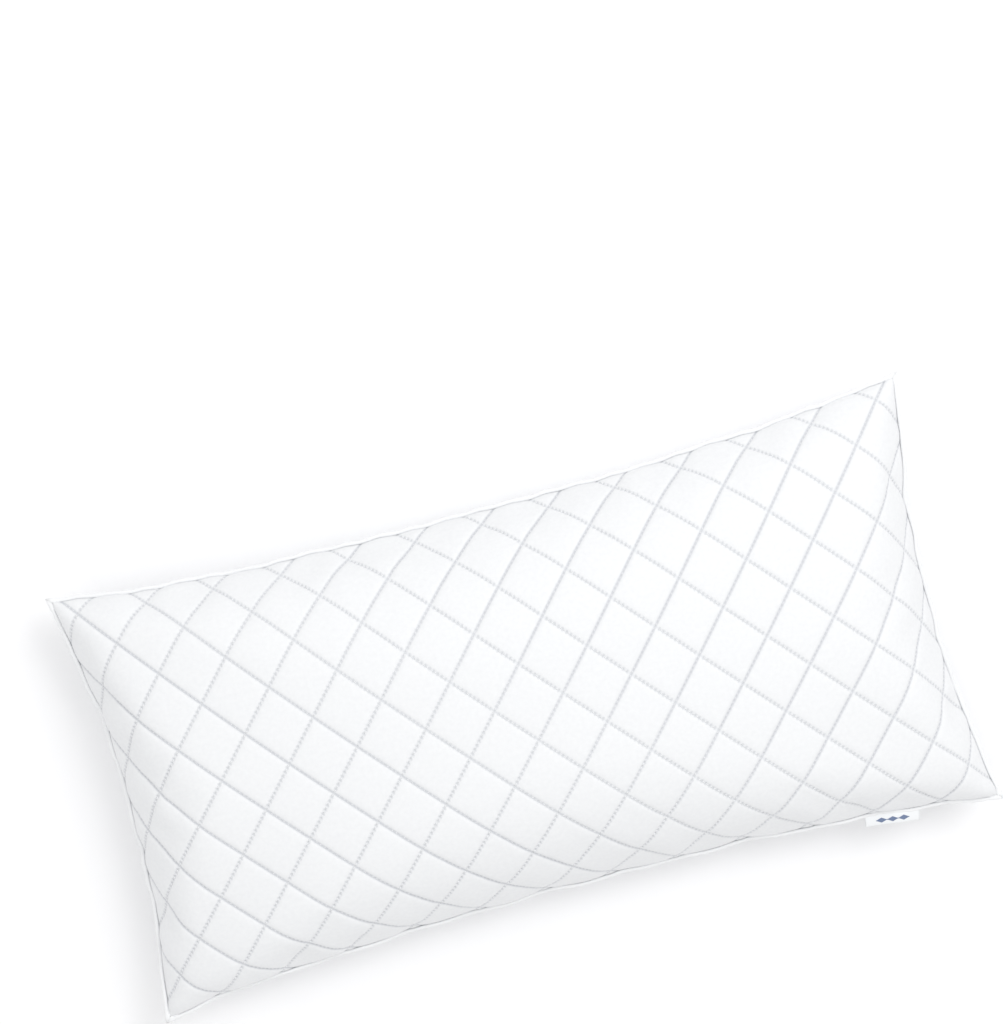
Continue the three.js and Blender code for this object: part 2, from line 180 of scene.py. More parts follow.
def fill_bag():
    """The bag's points after it has been blown up on a floor, as [panel, column, row, xyz]."""
    bag = add_mesh("bag", bag_points, bag_faces)
    bed = add_floor("bed", 1)
    bed.modifiers.new("bed", "COLLISION")
    bed.collision.thickness_outer = CLOTH_GAP
    cloth = bag.modifiers.new("cloth", "CLOTH")
    for name, value in CLOTH_SETTINGS.items():
        setattr(cloth.settings, name, value)
    cloth.collision_settings.distance_min = CLOTH_GAP
    cloth.collision_settings.collision_quality = 3
    cloth.point_cache.frame_start = 1
    cloth.point_cache.frame_end = FILL_FRAMES
    for step in range(1, FILL_FRAMES + 1):
        bpy.context.scene.frame_set(step)
    filled = bag.evaluated_get(bpy.context.evaluated_depsgraph_get()).data
    places = np.array([v.co for v in filled.vertices])
    for piece in (bag, bed):
        bpy.data.objects.remove(piece)
    bpy.context.scene.frame_set(1)
    return places[bag_numbers]


raw_bag = fill_bag()
print("filled bag, mm:", np.round(np.ptp(raw_bag.reshape(-1, 3), axis=0) / MM, 1))

# %% [markdown]
# The simulated bag is a little off the design in size, so it is scaled along each axis: its corners
# go to the corners of the design's shell, a little farther out because real ears are drawn thin and
# long, and its height to the shell's height less the puffs that the quilting adds on both faces.
# It is averaged with its own mirror images, because a free bag turns a little as it fills.

# %% Bring the filled bag to the design's size
PUFF_HEIGHT = 2.7 * MM
EAR_REACH = 1.4 * MM
high_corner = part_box("top_shell")[1]
bed_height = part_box("bottom_shell")[0].z


def symmetrical(bag):
    """The bag's average with its mirror images along and across, so that it doesn't lean."""
    for axis, sign in ((1, (-1, 1, 1)), (2, (1, -1, 1))):
        bag = (bag + np.flip(bag, axis=axis) * np.array(sign)) / 2
    return bag


def fitted(bag):
    """The bag scaled to the design's corners and height, standing on the bed."""
    low, high = bag.reshape(-1, 3).min(axis=0), bag.reshape(-1, 3).max(axis=0)
    target = np.array([2 * (high_corner.x + EAR_REACH), 2 * (high_corner.y + 2 * EAR_REACH),
                       high_corner.z - bed_height - 2 * PUFF_HEIGHT])
    middle = np.array([(low[0] + high[0]) / 2, (low[1] + high[1]) / 2, low[2]])
    scale = target / (high - low)
    print("scaled by", np.round(scale, 3))
    return (bag - middle) * scale + np.array([0, 0, bed_height + PUFF_HEIGHT])


bag = fitted(symmetrical(raw_bag))
print("middle of the long side's seam, mm:", np.round(bag[0, COLUMNS // 2, 0] / MM, 1))
print("middle of the short side's seam, mm:", np.round(bag[0, 0, ROWS // 2] / MM, 1))


# %% [markdown]
# The coarse bag carries a finer surface as a spline: any cloth point gets a place and a normal from
# the sixteen bag points around it. A B-spline is used, because it also irons out the small steps
# that the simulation leaves.

# %% A smooth surface through the bag
def spline_weights(places, count):
    """One row per place, one column per bag point: the weights of a cubic B-spline."""
    start = np.clip(np.floor(places).astype(int), 0, count - 2)
    t = places - start
    shares = [(1 - t) ** 3, 3 * t**3 - 6 * t**2 + 4, -3 * t**3 + 3 * t**2 + 3 * t + 1, t**3]
    weights = np.zeros((len(places), count + 2))
    for k, share in enumerate(shares):
        weights[np.arange(len(places)), start + k] += share / 6
    # A point beyond either end is the mirror image of the one inside it.
    inner = weights[:, 1:-1].copy()
    inner[:, 0] += 2 * weights[:, 0]
    inner[:, 1] -= weights[:, 0]
    inner[:, -1] += 2 * weights[:, -1]
    inner[:, -2] -= weights[:, -1]
    return inner


def along_weights(along):
    return spline_weights((np.asarray(along, float) + HALF_LENGTH) / CELL, COLUMNS + 1)


def across_weights(across):
    return spline_weights((np.asarray(across, float) + HALF_WIDTH) / CELL, ROWS + 1)


print("weights at a place sum to", round(float(along_weights([0.123]).sum()), 6))

# %% [markdown]
# Thread gathers cloth, so a real seam isn't a smooth curve. It is drawn in where each quilting line
# meets it, and it wanders in and out and up and down by a millimetre or two. Smooth noise makes the
# wandering, and both die away within a finger's width of the seam and towards the corners.

# %% The cloth's gathers along the seam
GATHER_WIDTH = 11 * MM
CORNER_CALM = 18 * MM
LINE_PULL = 1.2 * MM
LINE_PULL_WIDTH = 9 * MM
SEAM_WOBBLE = 2.3 * MM
UPWARD_SHARE = 1.6
# Waves to the metre, and the layer of the noise that they are cut from.
INWARD_NOISE = (21, 3.1)
UPWARD_NOISE = (17, 8.6)


def line_distances(along, across):
    """The distance to the nearest quilting line of each family, and the place along that line."""
    a, b = along / HALF_DIAMOND_X, (across - CROSSING_OFFSET) / HALF_DIAMOND_Y
    families = ((a + b) / 2, (a - b) / 2)
    distances = [np.abs(p - np.round(p)) * LINE_SPACING for p in families]
    return distances, [families[1] * DIAMOND_SIDE, families[0] * DIAMOND_SIDE]


def soft_noise(along, across, waves, layer):
    """Smooth noise between about -1 and 1 at cloth places, with so many waves to the metre."""
    flat = zip(np.ravel(along * waves), np.ravel(across * waves))
    return np.reshape([noise.noise(Vector((u, v, layer))) for u, v in flat], np.shape(along))


def gathers(along, across):
    """How far the seam's thread and the ends of the quilting lines move the cloth beside the seam."""
    along, across = np.asarray(along, float), np.asarray(across, float)
    to_end, to_side = HALF_LENGTH - np.abs(along), HALF_WIDTH - np.abs(across)
    at_end = np.exp(-to_end / GATHER_WIDTH) * (1 - np.exp(-to_side / CORNER_CALM))
    at_side = np.exp(-to_side / GATHER_WIDTH) * (1 - np.exp(-to_end / CORNER_CALM))
    nearest = np.minimum(*line_distances(along, across)[0])
    pull = LINE_PULL * np.exp(-((nearest / LINE_PULL_WIDTH) ** 2))
    inwards = pull + SEAM_WOBBLE * soft_noise(along, across, *INWARD_NOISE)
    up = UPWARD_SHARE * SEAM_WOBBLE * soft_noise(along, across, *UPWARD_NOISE)
    return np.stack([-np.sign(along) * inwards * at_end, -np.sign(across) * inwards * at_side,
                     up * (at_end + at_side)], axis=-1)


def bag_place(panel, along, across):
    """Places of separate cloth points."""
    halfway = np.einsum("nj,ijk->nik", across_weights(across), bag[panel])
    return np.einsum("ni,nik->nk", along_weights(along), halfway) + gathers(along, across)


def unit(vectors):
    return vectors / np.maximum(np.linalg.norm(vectors, axis=-1, keepdims=True), 1e-12)


def bag_normal(panel, along, across):
    """Outward normals of separate cloth points."""
    step = 1 * MM
    slope_x = bag_place(panel, along + step, across) - bag_place(panel, along - step, across)
    slope_y = bag_place(panel, along, across + step) - bag_place(panel, along, across - step)
    return unit(np.cross(slope_x, slope_y)) * (1 if panel == 0 else -1)


middle_of_cloth = np.array([0.0])
print("top of the bag, mm:", np.round(bag_place(0, middle_of_cloth, middle_of_cloth)[0] / MM, 1))

# %% [markdown]
# Quilting sews shell, wadding and lining together along the two families of slanting lines. Between
# the lines the wadding pushes the shell up, steeply beside the thread and then almost flat. The
# thread's pull isn't even: the falling lines are drawn in tightest towards the near left, where they
# show as plain grooves, and the rising ones towards the far right.

# %% The quilting's relief
STEEP_WIDTH = 1.9 * MM
STEEP_SHARE = 0.72
LOOSE_PULL = 0.82
PULL_SLANT = 1.2
TIGHT_FALLING = (20 * MM, -170 * MM)
TIGHT_RISING = (-90 * MM, 120 * MM)
PUCKER_HEIGHT = 0.35 * MM
PUCKER_PITCH = 11.3 * MM
PUCKER_START = 1.5 * MM
PUCKER_REACH = 5 * MM
PUCKER_PHASES = (0.4, 1.9)
SEAM_FADE = 4 * MM


def smooth_step(low, high, x):
    t = np.clip((x - low) / (high - low), 0, 1)
    return t * t * (3 - 2 * t)


def tightness(along, across):
    """How tightly each family of lines is drawn in, from 0 to 1."""
    place = along + PULL_SLANT * across
    return smooth_step(*TIGHT_FALLING, place), smooth_step(*TIGHT_RISING, place)


def rise_from(distance):
    """The share of the full puff at a distance from a line of stitches."""
    steep = 1 - np.exp(-distance / STEEP_WIDTH)
    gentle = np.sin(np.clip(distance / (LINE_SPACING / 2), 0, 1) * math.pi / 2)
    return STEEP_SHARE * steep + (1 - STEEP_SHARE) * gentle


def pucker(distance, run, phase):
    """Small puckers that stand across a line of stitches and die away from it."""
    reach = np.exp(-distance / PUCKER_REACH) * (1 - np.exp(-distance / PUCKER_START))
    return PUCKER_HEIGHT * np.sin(2 * math.pi * run / PUCKER_PITCH + phase) * reach


def border_distance(along, across):
    return np.minimum(HALF_LENGTH - np.abs(along), HALF_WIDTH - np.abs(across))


def relief(along, across):
    """How far the quilted cloth stands over the bag, in metres."""
    distances, runs = line_distances(along, across)
    puff, puckers = PUFF_HEIGHT, 0
    for distance, run, tight, phase in zip(distances, runs, tightness(along, across), PUCKER_PHASES):
        drawn_in = LOOSE_PULL + (1 - LOOSE_PULL) * tight
        puff = puff * (1 - drawn_in * (1 - rise_from(distance)))
        puckers = puckers + pucker(distance, run, phase)
    return (puff + puckers) * (1 - np.exp(-border_distance(along, across) / SEAM_FADE))


diamond_middle = np.array([CROSSING_OFFSET + HALF_DIAMOND_Y])
print("puff at the middle of a diamond, mm:", np.round(relief(middle_of_cloth, diamond_middle) / MM, 2))

# %% [markdown]
# The cover's mesh follows its sewing: it has a whole number of steps in each half diamond, so that
# every sewn line runs exactly along corners of its squares. Each point is then lifted off the smooth
# bag by the relief, and by soft dents where the cloth is too full near the seam.

# %% The fine cover
STEPS_PER_HALF_DIAMOND = 12
LEAST_STEP_SHARE = 0.4
DENT_DEPTH = 4.2 * MM
DENT_START = 9 * MM
DENT_REACH = 38 * MM
DENT_WAVES = 26
DENT_LAYERS = (7.3, 12.3)


def cloth_steps(half, pitch, offset):
    """Places across the panel at whole steps of the pitch from a crossing, and the two borders."""
    count = int((half + abs(offset)) / pitch) + 2
    places = offset + pitch * np.arange(-count, count + 1)
    return np.concatenate([[-half], places[np.abs(places) < half - LEAST_STEP_SHARE * pitch], [half]])


fine_along = cloth_steps(HALF_LENGTH, HALF_DIAMOND_X / STEPS_PER_HALF_DIAMOND, 0.0)
fine_across = cloth_steps(HALF_WIDTH, HALF_DIAMOND_Y / STEPS_PER_HALF_DIAMOND, CROSSING_OFFSET)
grid_along, grid_across = np.meshgrid(fine_along, fine_across, indexing="ij")
print("fine grid", grid_along.shape)


def fine_bag(panel):
    """The smooth bag and its outward normals at every point of the fine grid."""
    wx, wy = along_weights(fine_along), across_weights(fine_across)
    smooth = np.einsum("ai,bj,ijk->abk", wx, wy, bag[panel], optimize=True)
    place = smooth + gathers(grid_along, grid_across)
    normal = unit(np.cross(np.gradient(place, axis=0), np.gradient(place, axis=1)))
    return place, normal * (1 if panel == 0 else -1)


def dents(along, across, panel):
    """Soft dents where the cloth is gathered into the seam, deeper towards the border."""
    inside = border_distance(along, across)
    depth = DENT_DEPTH * np.exp(-inside / DENT_REACH) * (1 - np.exp(-inside / DENT_START))
    return depth * soft_noise(along, across, DENT_WAVES, DENT_LAYERS[panel])


def cover_height(along, across, panel):
    return relief(along, across) + dents(along, across, panel)


def cover_panel(panel):
    """The quilted surface of one panel on the fine grid."""
    place, normal = fine_bag(panel)
    surface = place + normal * cover_height(grid_along, grid_across, panel)[..., None]
    surface[..., 2] = np.maximum(surface[..., 2], bed_height)
    return surface


panels = [cover_panel(0), cover_panel(1)]
print("cover, mm:", np.round(np.ptp(np.concatenate(panels).reshape(-1, 3), axis=0) / MM, 1))


# %% The cover as one closed mesh
def splits_rising(i, j):
    """True if the square at (i, j) is better split along a rising line than a falling one."""
    middle_x = (fine_along[i] + fine_along[i + 1]) / 2
    middle_y = (fine_across[j] + fine_across[j + 1]) / 2
    (falling, rising), _ = line_distances(np.array([middle_x]), np.array([middle_y]))
    return rising[0] <= falling[0]


def closed_cover(name, surfaces):
    """Both panels joined at their shared border, with flat cloth coordinates as the UV map."""
    columns, rows = grid_along.shape
    numbers = np.zeros((2, columns, rows), int)
    points, flat, faces = [], [], []
    for panel in (0, 1):
        for i in range(columns):
            for j in range(rows):
                if panel == 1 and (i in (0, columns - 1) or j in (0, rows - 1)):
                    numbers[1, i, j] = numbers[0, i, j]
                    continue
                numbers[panel, i, j] = len(points)
                points.append(surfaces[panel][i, j])
                flat.append((grid_along[i, j], grid_across[i, j]))
    for i in range(columns - 1):
        for j in range(rows - 1):
            rising = splits_rising(i, j)
            square = ((i, j), (i + 1, j), (i + 1, j + 1), (i, j + 1))
            for panel in (0, 1):
                a, b, c, d = (int(numbers[panel][corner]) for corner in square)
                halves = [(a, b, c), (a, c, d)] if rising else [(a, b, d), (b, c, d)]
                faces += halves if panel == 0 else [half[::-1] for half in halves]
    piece = add_mesh(name, points, faces)
    cloth_map = piece.data.uv_layers.new(name="cloth")
    corner_points = np.empty(len(piece.data.loops), int)
    piece.data.loops.foreach_get("vertex_index", corner_points)
    cloth_map.data.foreach_set("uv", np.array(flat)[corner_points].ravel())
    return piece


cover = closed_cover("quilted_cover", panels)
print("cover faces:", len(cover.data.polygons))

# %% [markdown]
# Microfibre is a very closely woven polyester cloth, brushed a little: white, matt and smooth, with
# a faint sheen where it turns away. The weave itself is 0.1 mm, too fine to show, so its bump is
# drawn at 0.9 mm and kept low. Along the sewn lines the cloth is drawn down into a narrow groove,
# and needle holes sit between the stitches. The shade in the groove and in the holes is painted
# into the colour, darker in a furrow where the line is tight. All of these are worked out from the
# cloth coordinates, so they keep to the modelled lines wherever the cloth bends.

# %% The sewn lines as node values
GROOVE_WIDTH = 4.6 * MM
FURROW_SHADE_WIDTH = 3.6 * MM
HOLE_WIDTH = 4.6 * MM
HOLE_CORE, HOLE_END = 0.1, 0.28
TIGHT_HOLE_SHARE = 0.45


def cloth_lines(tree, parts):
    """For each family: the distance to its nearest line in metres, and to the nearest needle hole."""
    a = add_node(tree, "ShaderNodeMath", {0: parts.outputs["X"]}, {1: 1 / HALF_DIAMOND_X},
                 operation="MULTIPLY")
    b = add_node(tree, "ShaderNodeMath", {0: parts.outputs["Y"]},
                 {1: 1 / HALF_DIAMOND_Y, 2: -CROSSING_OFFSET / HALF_DIAMOND_Y}, operation="MULTIPLY_ADD")
    both = {0: a.outputs[0], 1: b.outputs[0]}
    families = []
    for across_lines, along_lines in (("ADD", "SUBTRACT"), ("SUBTRACT", "ADD")):
        number = add_node(tree, "ShaderNodeMath", both, operation=across_lines)
        run = add_node(tree, "ShaderNodeMath", both, operation=along_lines)
        # Lines lie at even numbers here, so half a period is 1.
        off = add_node(tree, "ShaderNodeMath", {0: number.outputs[0]}, {1: 1.0}, operation="PINGPONG")
        distance = add_node(tree, "ShaderNodeMath", {0: off.outputs[0]}, {1: LINE_SPACING / 2},
                            operation="MULTIPLY")
        stitches = add_node(tree, "ShaderNodeMath", {0: run.outputs[0]}, {1: STITCHES_PER_SIDE / 2},
                            operation="MULTIPLY")
        hole = add_node(tree, "ShaderNodeMath", {0: stitches.outputs[0]}, {1: 0.5}, operation="PINGPONG")
        families.append((distance.outputs[0], hole.outputs[0]))
    return families


def line_pulls(tree, parts):
    """How tightly each family is drawn in, by the same rule as the relief."""
    slant = add_node(tree, "ShaderNodeMath", {0: parts.outputs["Y"], 2: parts.outputs["X"]},
                     {1: PULL_SLANT}, operation="MULTIPLY_ADD")
    pulls = []
    for loose_end, tight_end in (TIGHT_FALLING, TIGHT_RISING):
        pull = add_node(tree, "ShaderNodeMapRange", {"Value": slant.outputs[0]},
                        {"From Min": loose_end, "From Max": tight_end, "To Min": 0.0, "To Max": 1.0})
        pulls.append(pull.outputs["Result"])
    return pulls


def tight_furrow_shade(tree, lines, pulls):
    """The painted shade in the furrow along each tightly drawn line, from 0 to 1."""
    furrow_shades = []
    for (distance, _), pull in zip(lines, pulls):
        # Painted shade: the furrow only darkens the colour; the cloth's shape is not changed here.
        beside = add_node(tree, "ShaderNodeMapRange", {"Value": distance},
                          {"From Min": 0.0, "From Max": FURROW_SHADE_WIDTH / 2, "To Min": 1.0, "To Max": 0.0},
                          interpolation_type="SMOOTHSTEP")
        furrow_shade = add_node(tree, "ShaderNodeMath", {0: beside.outputs["Result"], 1: pull},
                          operation="MULTIPLY")
        furrow_shades.append(furrow_shade.outputs[0])
    return add_node(tree, "ShaderNodeMath", dict(enumerate(furrow_shades)), operation="MAXIMUM").outputs[0]


def needle_hole_dents_and_shade(tree, lines, pulls):
    """The needle's holes between the stitches, from 0 to 1, fainter along a tight line: dents in the bump and
    painted shade in the colour.
    """
    marks = []
    # Each hole is a dent in the bump and painted shade in the colour.
    for (distance, hole), pull in zip(lines, pulls):
        beside = add_node(tree, "ShaderNodeMapRange", {"Value": distance},
                          {"From Min": HOLE_WIDTH / 6, "From Max": HOLE_WIDTH / 2,
                           "To Min": 1.0, "To Max": 0.0})
        end = add_node(tree, "ShaderNodeMapRange", {"Value": hole},
                       {"From Min": HOLE_CORE, "From Max": HOLE_END, "To Min": 1.0, "To Max": 0.0})
        mark = add_node(tree, "ShaderNodeMath", {0: beside.outputs["Result"], 1: end.outputs["Result"]},
                        operation="MULTIPLY")
        shown = add_node(tree, "ShaderNodeMapRange", {"Value": pull},
                         {"To Min": 1.0, "To Max": TIGHT_HOLE_SHARE})
        marks.append(add_node(tree, "ShaderNodeMath", {0: mark.outputs[0], 1: shown.outputs["Result"]},
                              operation="MULTIPLY"))
    # The falling lines' holes fade out where a rising line crosses them.
    clear = add_node(tree, "ShaderNodeMapRange", {"Value": lines[1][0]},
                     {"From Min": CROSSING_GAP * 0.6, "From Max": CROSSING_GAP * 1.2,
                      "To Min": 0.0, "To Max": 1.0})
    falling = add_node(tree, "ShaderNodeMath", {0: marks[0].outputs[0], 1: clear.outputs["Result"]},
                       operation="MULTIPLY")
    return add_node(tree, "ShaderNodeMath", {0: falling.outputs[0], 1: marks[1].outputs[0]},
                    operation="MAXIMUM").outputs[0]


# %% Material: brushed microfibre
WEAVE_WIDTH = 0.9 * MM
CLOUD_WIDTH = 4 * MM


def microfibre():
    """White brushed microfibre with sewn grooves."""
    material, tree, shader = new_material(
        "brushed_white_microfibre", "#E2E3E4", 0.72, Sheen_Weight=0.25, Sheen_Roughness=0.45,
        Specular_IOR_Level=0.3, IOR=1.5,
    )
    where = add_node(tree, "ShaderNodeUVMap", uv_map="cloth").outputs["UV"]
    parts = add_node(tree, "ShaderNodeSeparateXYZ", {"Vector": where})
    lines, pulls = cloth_lines(tree, parts), line_pulls(tree, parts)
    furrow_shade, hole_dents_and_shade = tight_furrow_shade(tree, lines, pulls), needle_hole_dents_and_shade(tree, lines, pulls)
    nearest = add_node(tree, "ShaderNodeMath", {0: lines[0][0], 1: lines[1][0]}, operation="MINIMUM")
    open_cloth = add_node(tree, "ShaderNodeMapRange", {"Value": nearest.outputs[0]},
                          {"From Min": 0.0, "From Max": GROOVE_WIDTH / 2, "To Min": 0.0, "To Max": 1.0},
                          interpolation_type="SMOOTHSTEP").outputs["Result"]

    cloudy = add_node(tree, "ShaderNodeTexNoise", {"Vector": where},
                      {"Scale": 1 / CLOUD_WIDTH, "Detail": 3.0})
    white = add_node(tree, "ShaderNodeMix", {"Factor": cloudy.outputs["Fac"]},
                     {"A": linear("#E3E4E6"), "B": linear("#ECEDEE")}, data_type="RGBA")
    # Painted shade: the groove beside each sewn line is given a darker colour than the open cloth.
    painted_groove_shade = add_node(tree, "ShaderNodeMix", {"Factor": open_cloth, "B": white.outputs["Result"]},
                       {"A": linear("#DFE1E4")}, data_type="RGBA")
    colour = painted_groove_shade.outputs["Result"]
    # Painted shade: the tight furrows and the needle holes darken the colour further.
    for share, shade in ((furrow_shade, "#C9CBD0"), (hole_dents_and_shade, "#D2D4D7")):
        colour = add_node(tree, "ShaderNodeMix", {"Factor": share, "A": colour}, {"B": linear(shade)},
                          data_type="RGBA").outputs["Result"]
    tree.links.new(colour, shader.inputs["Base Color"])

    weave = add_node(tree, "ShaderNodeTexNoise", {"Vector": where},
                     {"Scale": 1 / WEAVE_WIDTH, "Detail": 2.0, "Roughness": 0.6})
    depth = add_node(tree, "ShaderNodeMath", {0: hole_dents_and_shade, 1: open_cloth}, operation="SUBTRACT")
    low = add_node(tree, "ShaderNodeBump", {"Height": depth.outputs[0]},
                   {"Strength": 0.3, "Distance": 0.5 * MM}, invert=True)
    fine = add_node(tree, "ShaderNodeBump", {"Height": weave.outputs["Fac"], "Normal": low.outputs["Normal"]},
                    {"Strength": 0.25, "Distance": 0.12 * MM})
    tree.links.new(fine.outputs["Normal"], shader.inputs["Normal"])
    return material


cover.data.materials.append(microfibre())
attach(cover, "root")
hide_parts("top_shell", "bottom_shell", "top_wadding", "bottom_wadding", "top_lining",
            "bottom_lining")
print("cover dressed")

# %% [markdown]
# Inside is loose hollow fibre, which takes the bag's form. It is never seen, but the pillow isn't
# empty: one closed form, a cover's thickness inside the bag, stands for the whole heap.

# %% The fibre filling
COVER_THICKNESS = 7 * MM
MARGIN_CELLS = 2
LEAST_HALF_THICKNESS = 0.5 * MM


def fibre_heap():
    """The bag drawn in by the cover's thickness, without its outermost cells."""
    kept = slice(MARGIN_CELLS, -MARGIN_CELLS)
    sides = []
    for panel in (0, 1):
        normal = unit(np.cross(np.gradient(bag[panel], axis=0), np.gradient(bag[panel], axis=1)))
        normal *= 1 if panel == 0 else -1
        sides.append((bag[panel] - COVER_THICKNESS * normal)[kept, kept])
    middle = ((sides[0] + sides[1]) / 2)[..., 2]
    sides[0][..., 2] = np.maximum(sides[0][..., 2], middle + LEAST_HALF_THICKNESS)
    sides[1][..., 2] = np.minimum(sides[1][..., 2], middle - LEAST_HALF_THICKNESS)
    columns, rows = sides[0].shape[:2]
    top = np.arange(columns * rows).reshape(columns, rows)
    bottom = top + columns * rows
    faces = []
    for i in range(columns - 1):
        for j in range(rows - 1):
            square = ((i, j), (i + 1, j), (i + 1, j + 1), (i, j + 1))
            faces.append([int(top[p]) for p in square])
            faces.append([int(bottom[p]) for p in square[::-1]])
    around = [(i, 0) for i in range(columns)]
    around += [(columns - 1, j) for j in range(1, rows)]
    around += [(i, rows - 1) for i in range(columns - 2, -1, -1)]
    around += [(0, j) for j in range(rows - 2, 0, -1)]
    for here, after in zip(around, around[1:] + around[:1]):
        faces.append([int(n) for n in (bottom[here], bottom[after], top[after], top[here])])
    return add_mesh("fibre_heap", np.concatenate([side.reshape(-1, 3) for side in sides]), faces)


def hollow_fibre():
    """White polyester fibre: matt, with a tangled surface of 3 mm tufts."""
    material, tree, shader = new_material("tangled_hollow_fibre", "#F0EFEB", 0.95, Sheen_Weight=0.4)
    where = add_node(tree, "ShaderNodeTexCoord").outputs["Object"]
    tufts = add_node(tree, "ShaderNodeTexNoise", {"Vector": where},
                     {"Scale": 1 / (3 * MM), "Detail": 4.0, "Distortion": 1.5})
    tangle = add_node(tree, "ShaderNodeBump", {"Height": tufts.outputs["Fac"]},
                      {"Strength": 0.6, "Distance": 1.5 * MM})
    tree.links.new(tangle.outputs["Normal"], shader.inputs["Normal"])
    return material


heap = fibre_heap()
heap.data.materials.append(hollow_fibre())
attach(heap, "root")
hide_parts("fibre_fill")
print("filling, mm:", np.round(np.array(heap.dimensions) / MM, 1))

# %% [markdown]
# Each quilting line is a lockstitch: on the face it shows as short dashes of thread that come up
# through one hole and go down through the next. A dash is modelled as a small bar whose ends dip
# into the cloth, and copied along every line at the stitch pitch, turned to lie on the pillow. On a
# tight line the dashes are narrower and lie deeper.

# %% Quilting stitches
STITCH_LENGTH = 2.6 * MM
STITCH_WIDTH = 2.1 * MM
STITCH_RISE = 0.25 * MM
SUNK_DEPTH = 0.3 * MM
TIGHT_NARROWING = 0.35
SEAM_MARGIN = 5 * MM
# Shares of the stitch's length, width and rise at each of a dash's four sections.
DASH_SECTIONS = ((-0.5, 0.3, -0.9), (-0.28, 0.9, 0.7), (0.28, 0.9, 0.7), (0.5, 0.3, -0.9))


def stitch_middles(family):
    """Cloth places and directions of every dash of one family of lines."""
    slope = -1 if family == 0 else 1
    direction = np.array([HALF_DIAMOND_X, slope * HALF_DIAMOND_Y]) / DIAMOND_SIDE
    lines = int(HALF_LENGTH / HALF_DIAMOND_X + HALF_WIDTH / HALF_DIAMOND_Y) + 2
    dashes = int((HALF_LENGTH + HALF_WIDTH) * 1.5 / STITCH_PITCH)
    middles = []
    for line in range(-lines, lines + 1):
        start = np.array([2 * line * HALF_DIAMOND_X, CROSSING_OFFSET])
        for dash in range(-dashes, dashes):
            middles.append(start + direction * STITCH_PITCH * (dash + 0.5))
    middles = np.array(middles)
    inside = border_distance(middles[:, 0], middles[:, 1]) > SEAM_MARGIN
    if family == 0:
        # These lines are sewn first, so the others cross over them.
        inside &= line_distances(middles[:, 0], middles[:, 1])[0][1] > CROSSING_GAP
    return middles[inside], direction


def dash_points():
    """One dash as four sections of four points: (along, sideways, up) in metres."""
    points = []
    for length_share, width_share, rise_share in DASH_SECTIONS:
        x, radius = length_share * STITCH_LENGTH, width_share * STITCH_WIDTH / 2
        up = rise_share * STITCH_RISE
        points += [(x, radius, up), (x, 0, up + radius), (x, -radius, up), (x, 0, up - radius)]
    return np.array(points)


def dash_faces():
    faces = []
    for ring in range(3):
        for k in range(4):
            a, b = 4 * ring + k, 4 * ring + (k + 1) % 4
            faces.append((a, b, b + 4, a + 4))
    return faces + [(3, 2, 1, 0), (12, 13, 14, 15)]


def quilting_stitches(panel, name):
    """Every dash of one panel as one mesh."""
    template, template_faces = dash_points(), np.array(dash_faces())
    points, faces = [], []
    for family in (0, 1):
        middles, direction = stitch_middles(family)
        along, across = middles.T
        up = bag_normal(panel, along, across)
        place = bag_place(panel, along, across) + up * cover_height(along, across, panel)[:, None]
        step_x, step_y = direction * MM
        forward = unit(bag_place(panel, along + step_x, across + step_y)
                       - bag_place(panel, along - step_x, across - step_y))
        sideways = np.cross(up, forward)
        tight = tightness(along, across)[family][:, None]
        axes = np.stack([forward, sideways * (1 - TIGHT_NARROWING * tight), up], axis=1)
        sunk = place - up * tight * SUNK_DEPTH
        cloud = sunk[:, None, :] + np.einsum("tk,nkx->ntx", template, axes)
        start = sum(len(p) for p in points)
        points.append(cloud.reshape(-1, 3))
        offsets = start + len(template) * np.arange(len(middles))
        faces += (template_faces[None] + offsets[:, None, None]).reshape(-1, 4).tolist()
    points = np.concatenate(points)
    points[:, 2] = np.maximum(points[:, 2], bed_height)
    return add_mesh(name, points, faces)


# %% [markdown]
# The thread is spun polyester, two yarns twisted together: white, with a soft gloss along its ribs.
# The twist is 0.4 mm, far too fine to show, so it is drawn at 4.4 mm, as a slow change of shade
# from stitch to stitch.

# %% Material: polyester sewing thread
TWIST_WIDTH = 4.353 * MM
# At scale 1 a Wave Texture's phase grows by 20 radians to the metre across its X bands, and by 10 for
# each metre along X, Y and Z in its diagonal ones, which is 10 times the root of 3 across them.
PHASE_ACROSS_X = 20
PHASE_ACROSS_DIAGONAL = 10 * math.sqrt(3)


def sewing_thread():
    """Twisted white polyester with a soft gloss."""
    material, tree, shader = new_material("twisted_polyester_thread", "#E3E4E6", 0.5, Sheen_Weight=0.2)
    where = add_node(tree, "ShaderNodeTexCoord").outputs["Object"]
    twist = add_node(tree, "ShaderNodeTexWave", {"Vector": where},
                     {"Scale": 2 * math.pi / (PHASE_ACROSS_DIAGONAL * TWIST_WIDTH), "Distortion": 1.0},
                     bands_direction="DIAGONAL")
    ribs = add_node(tree, "ShaderNodeBump", {"Height": twist.outputs["Fac"]},
                    {"Strength": 0.5, "Distance": 0.1 * MM})
    tree.links.new(ribs.outputs["Normal"], shader.inputs["Normal"])
    return material


thread = sewing_thread()
for panel, side in enumerate(("top", "bottom")):
    stitches = quilting_stitches(panel, f"{side}_quilting_stitches")
    stitches.data.materials.append(thread)
    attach(stitches, "root")
    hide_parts(f"{side}_quilt_thread")
    print(stitches.name, len(stitches.data.polygons), "faces")

# %% [markdown]
# The cover is sewn inside out and turned, so its edge is a knife edge: a narrow lip of turned-in
# cloth runs outside the stitches on all four sides and meets its neighbour in a pointed corner. A
# bar with a rounded section is swept along each side, with small puckers where the thread pulls.

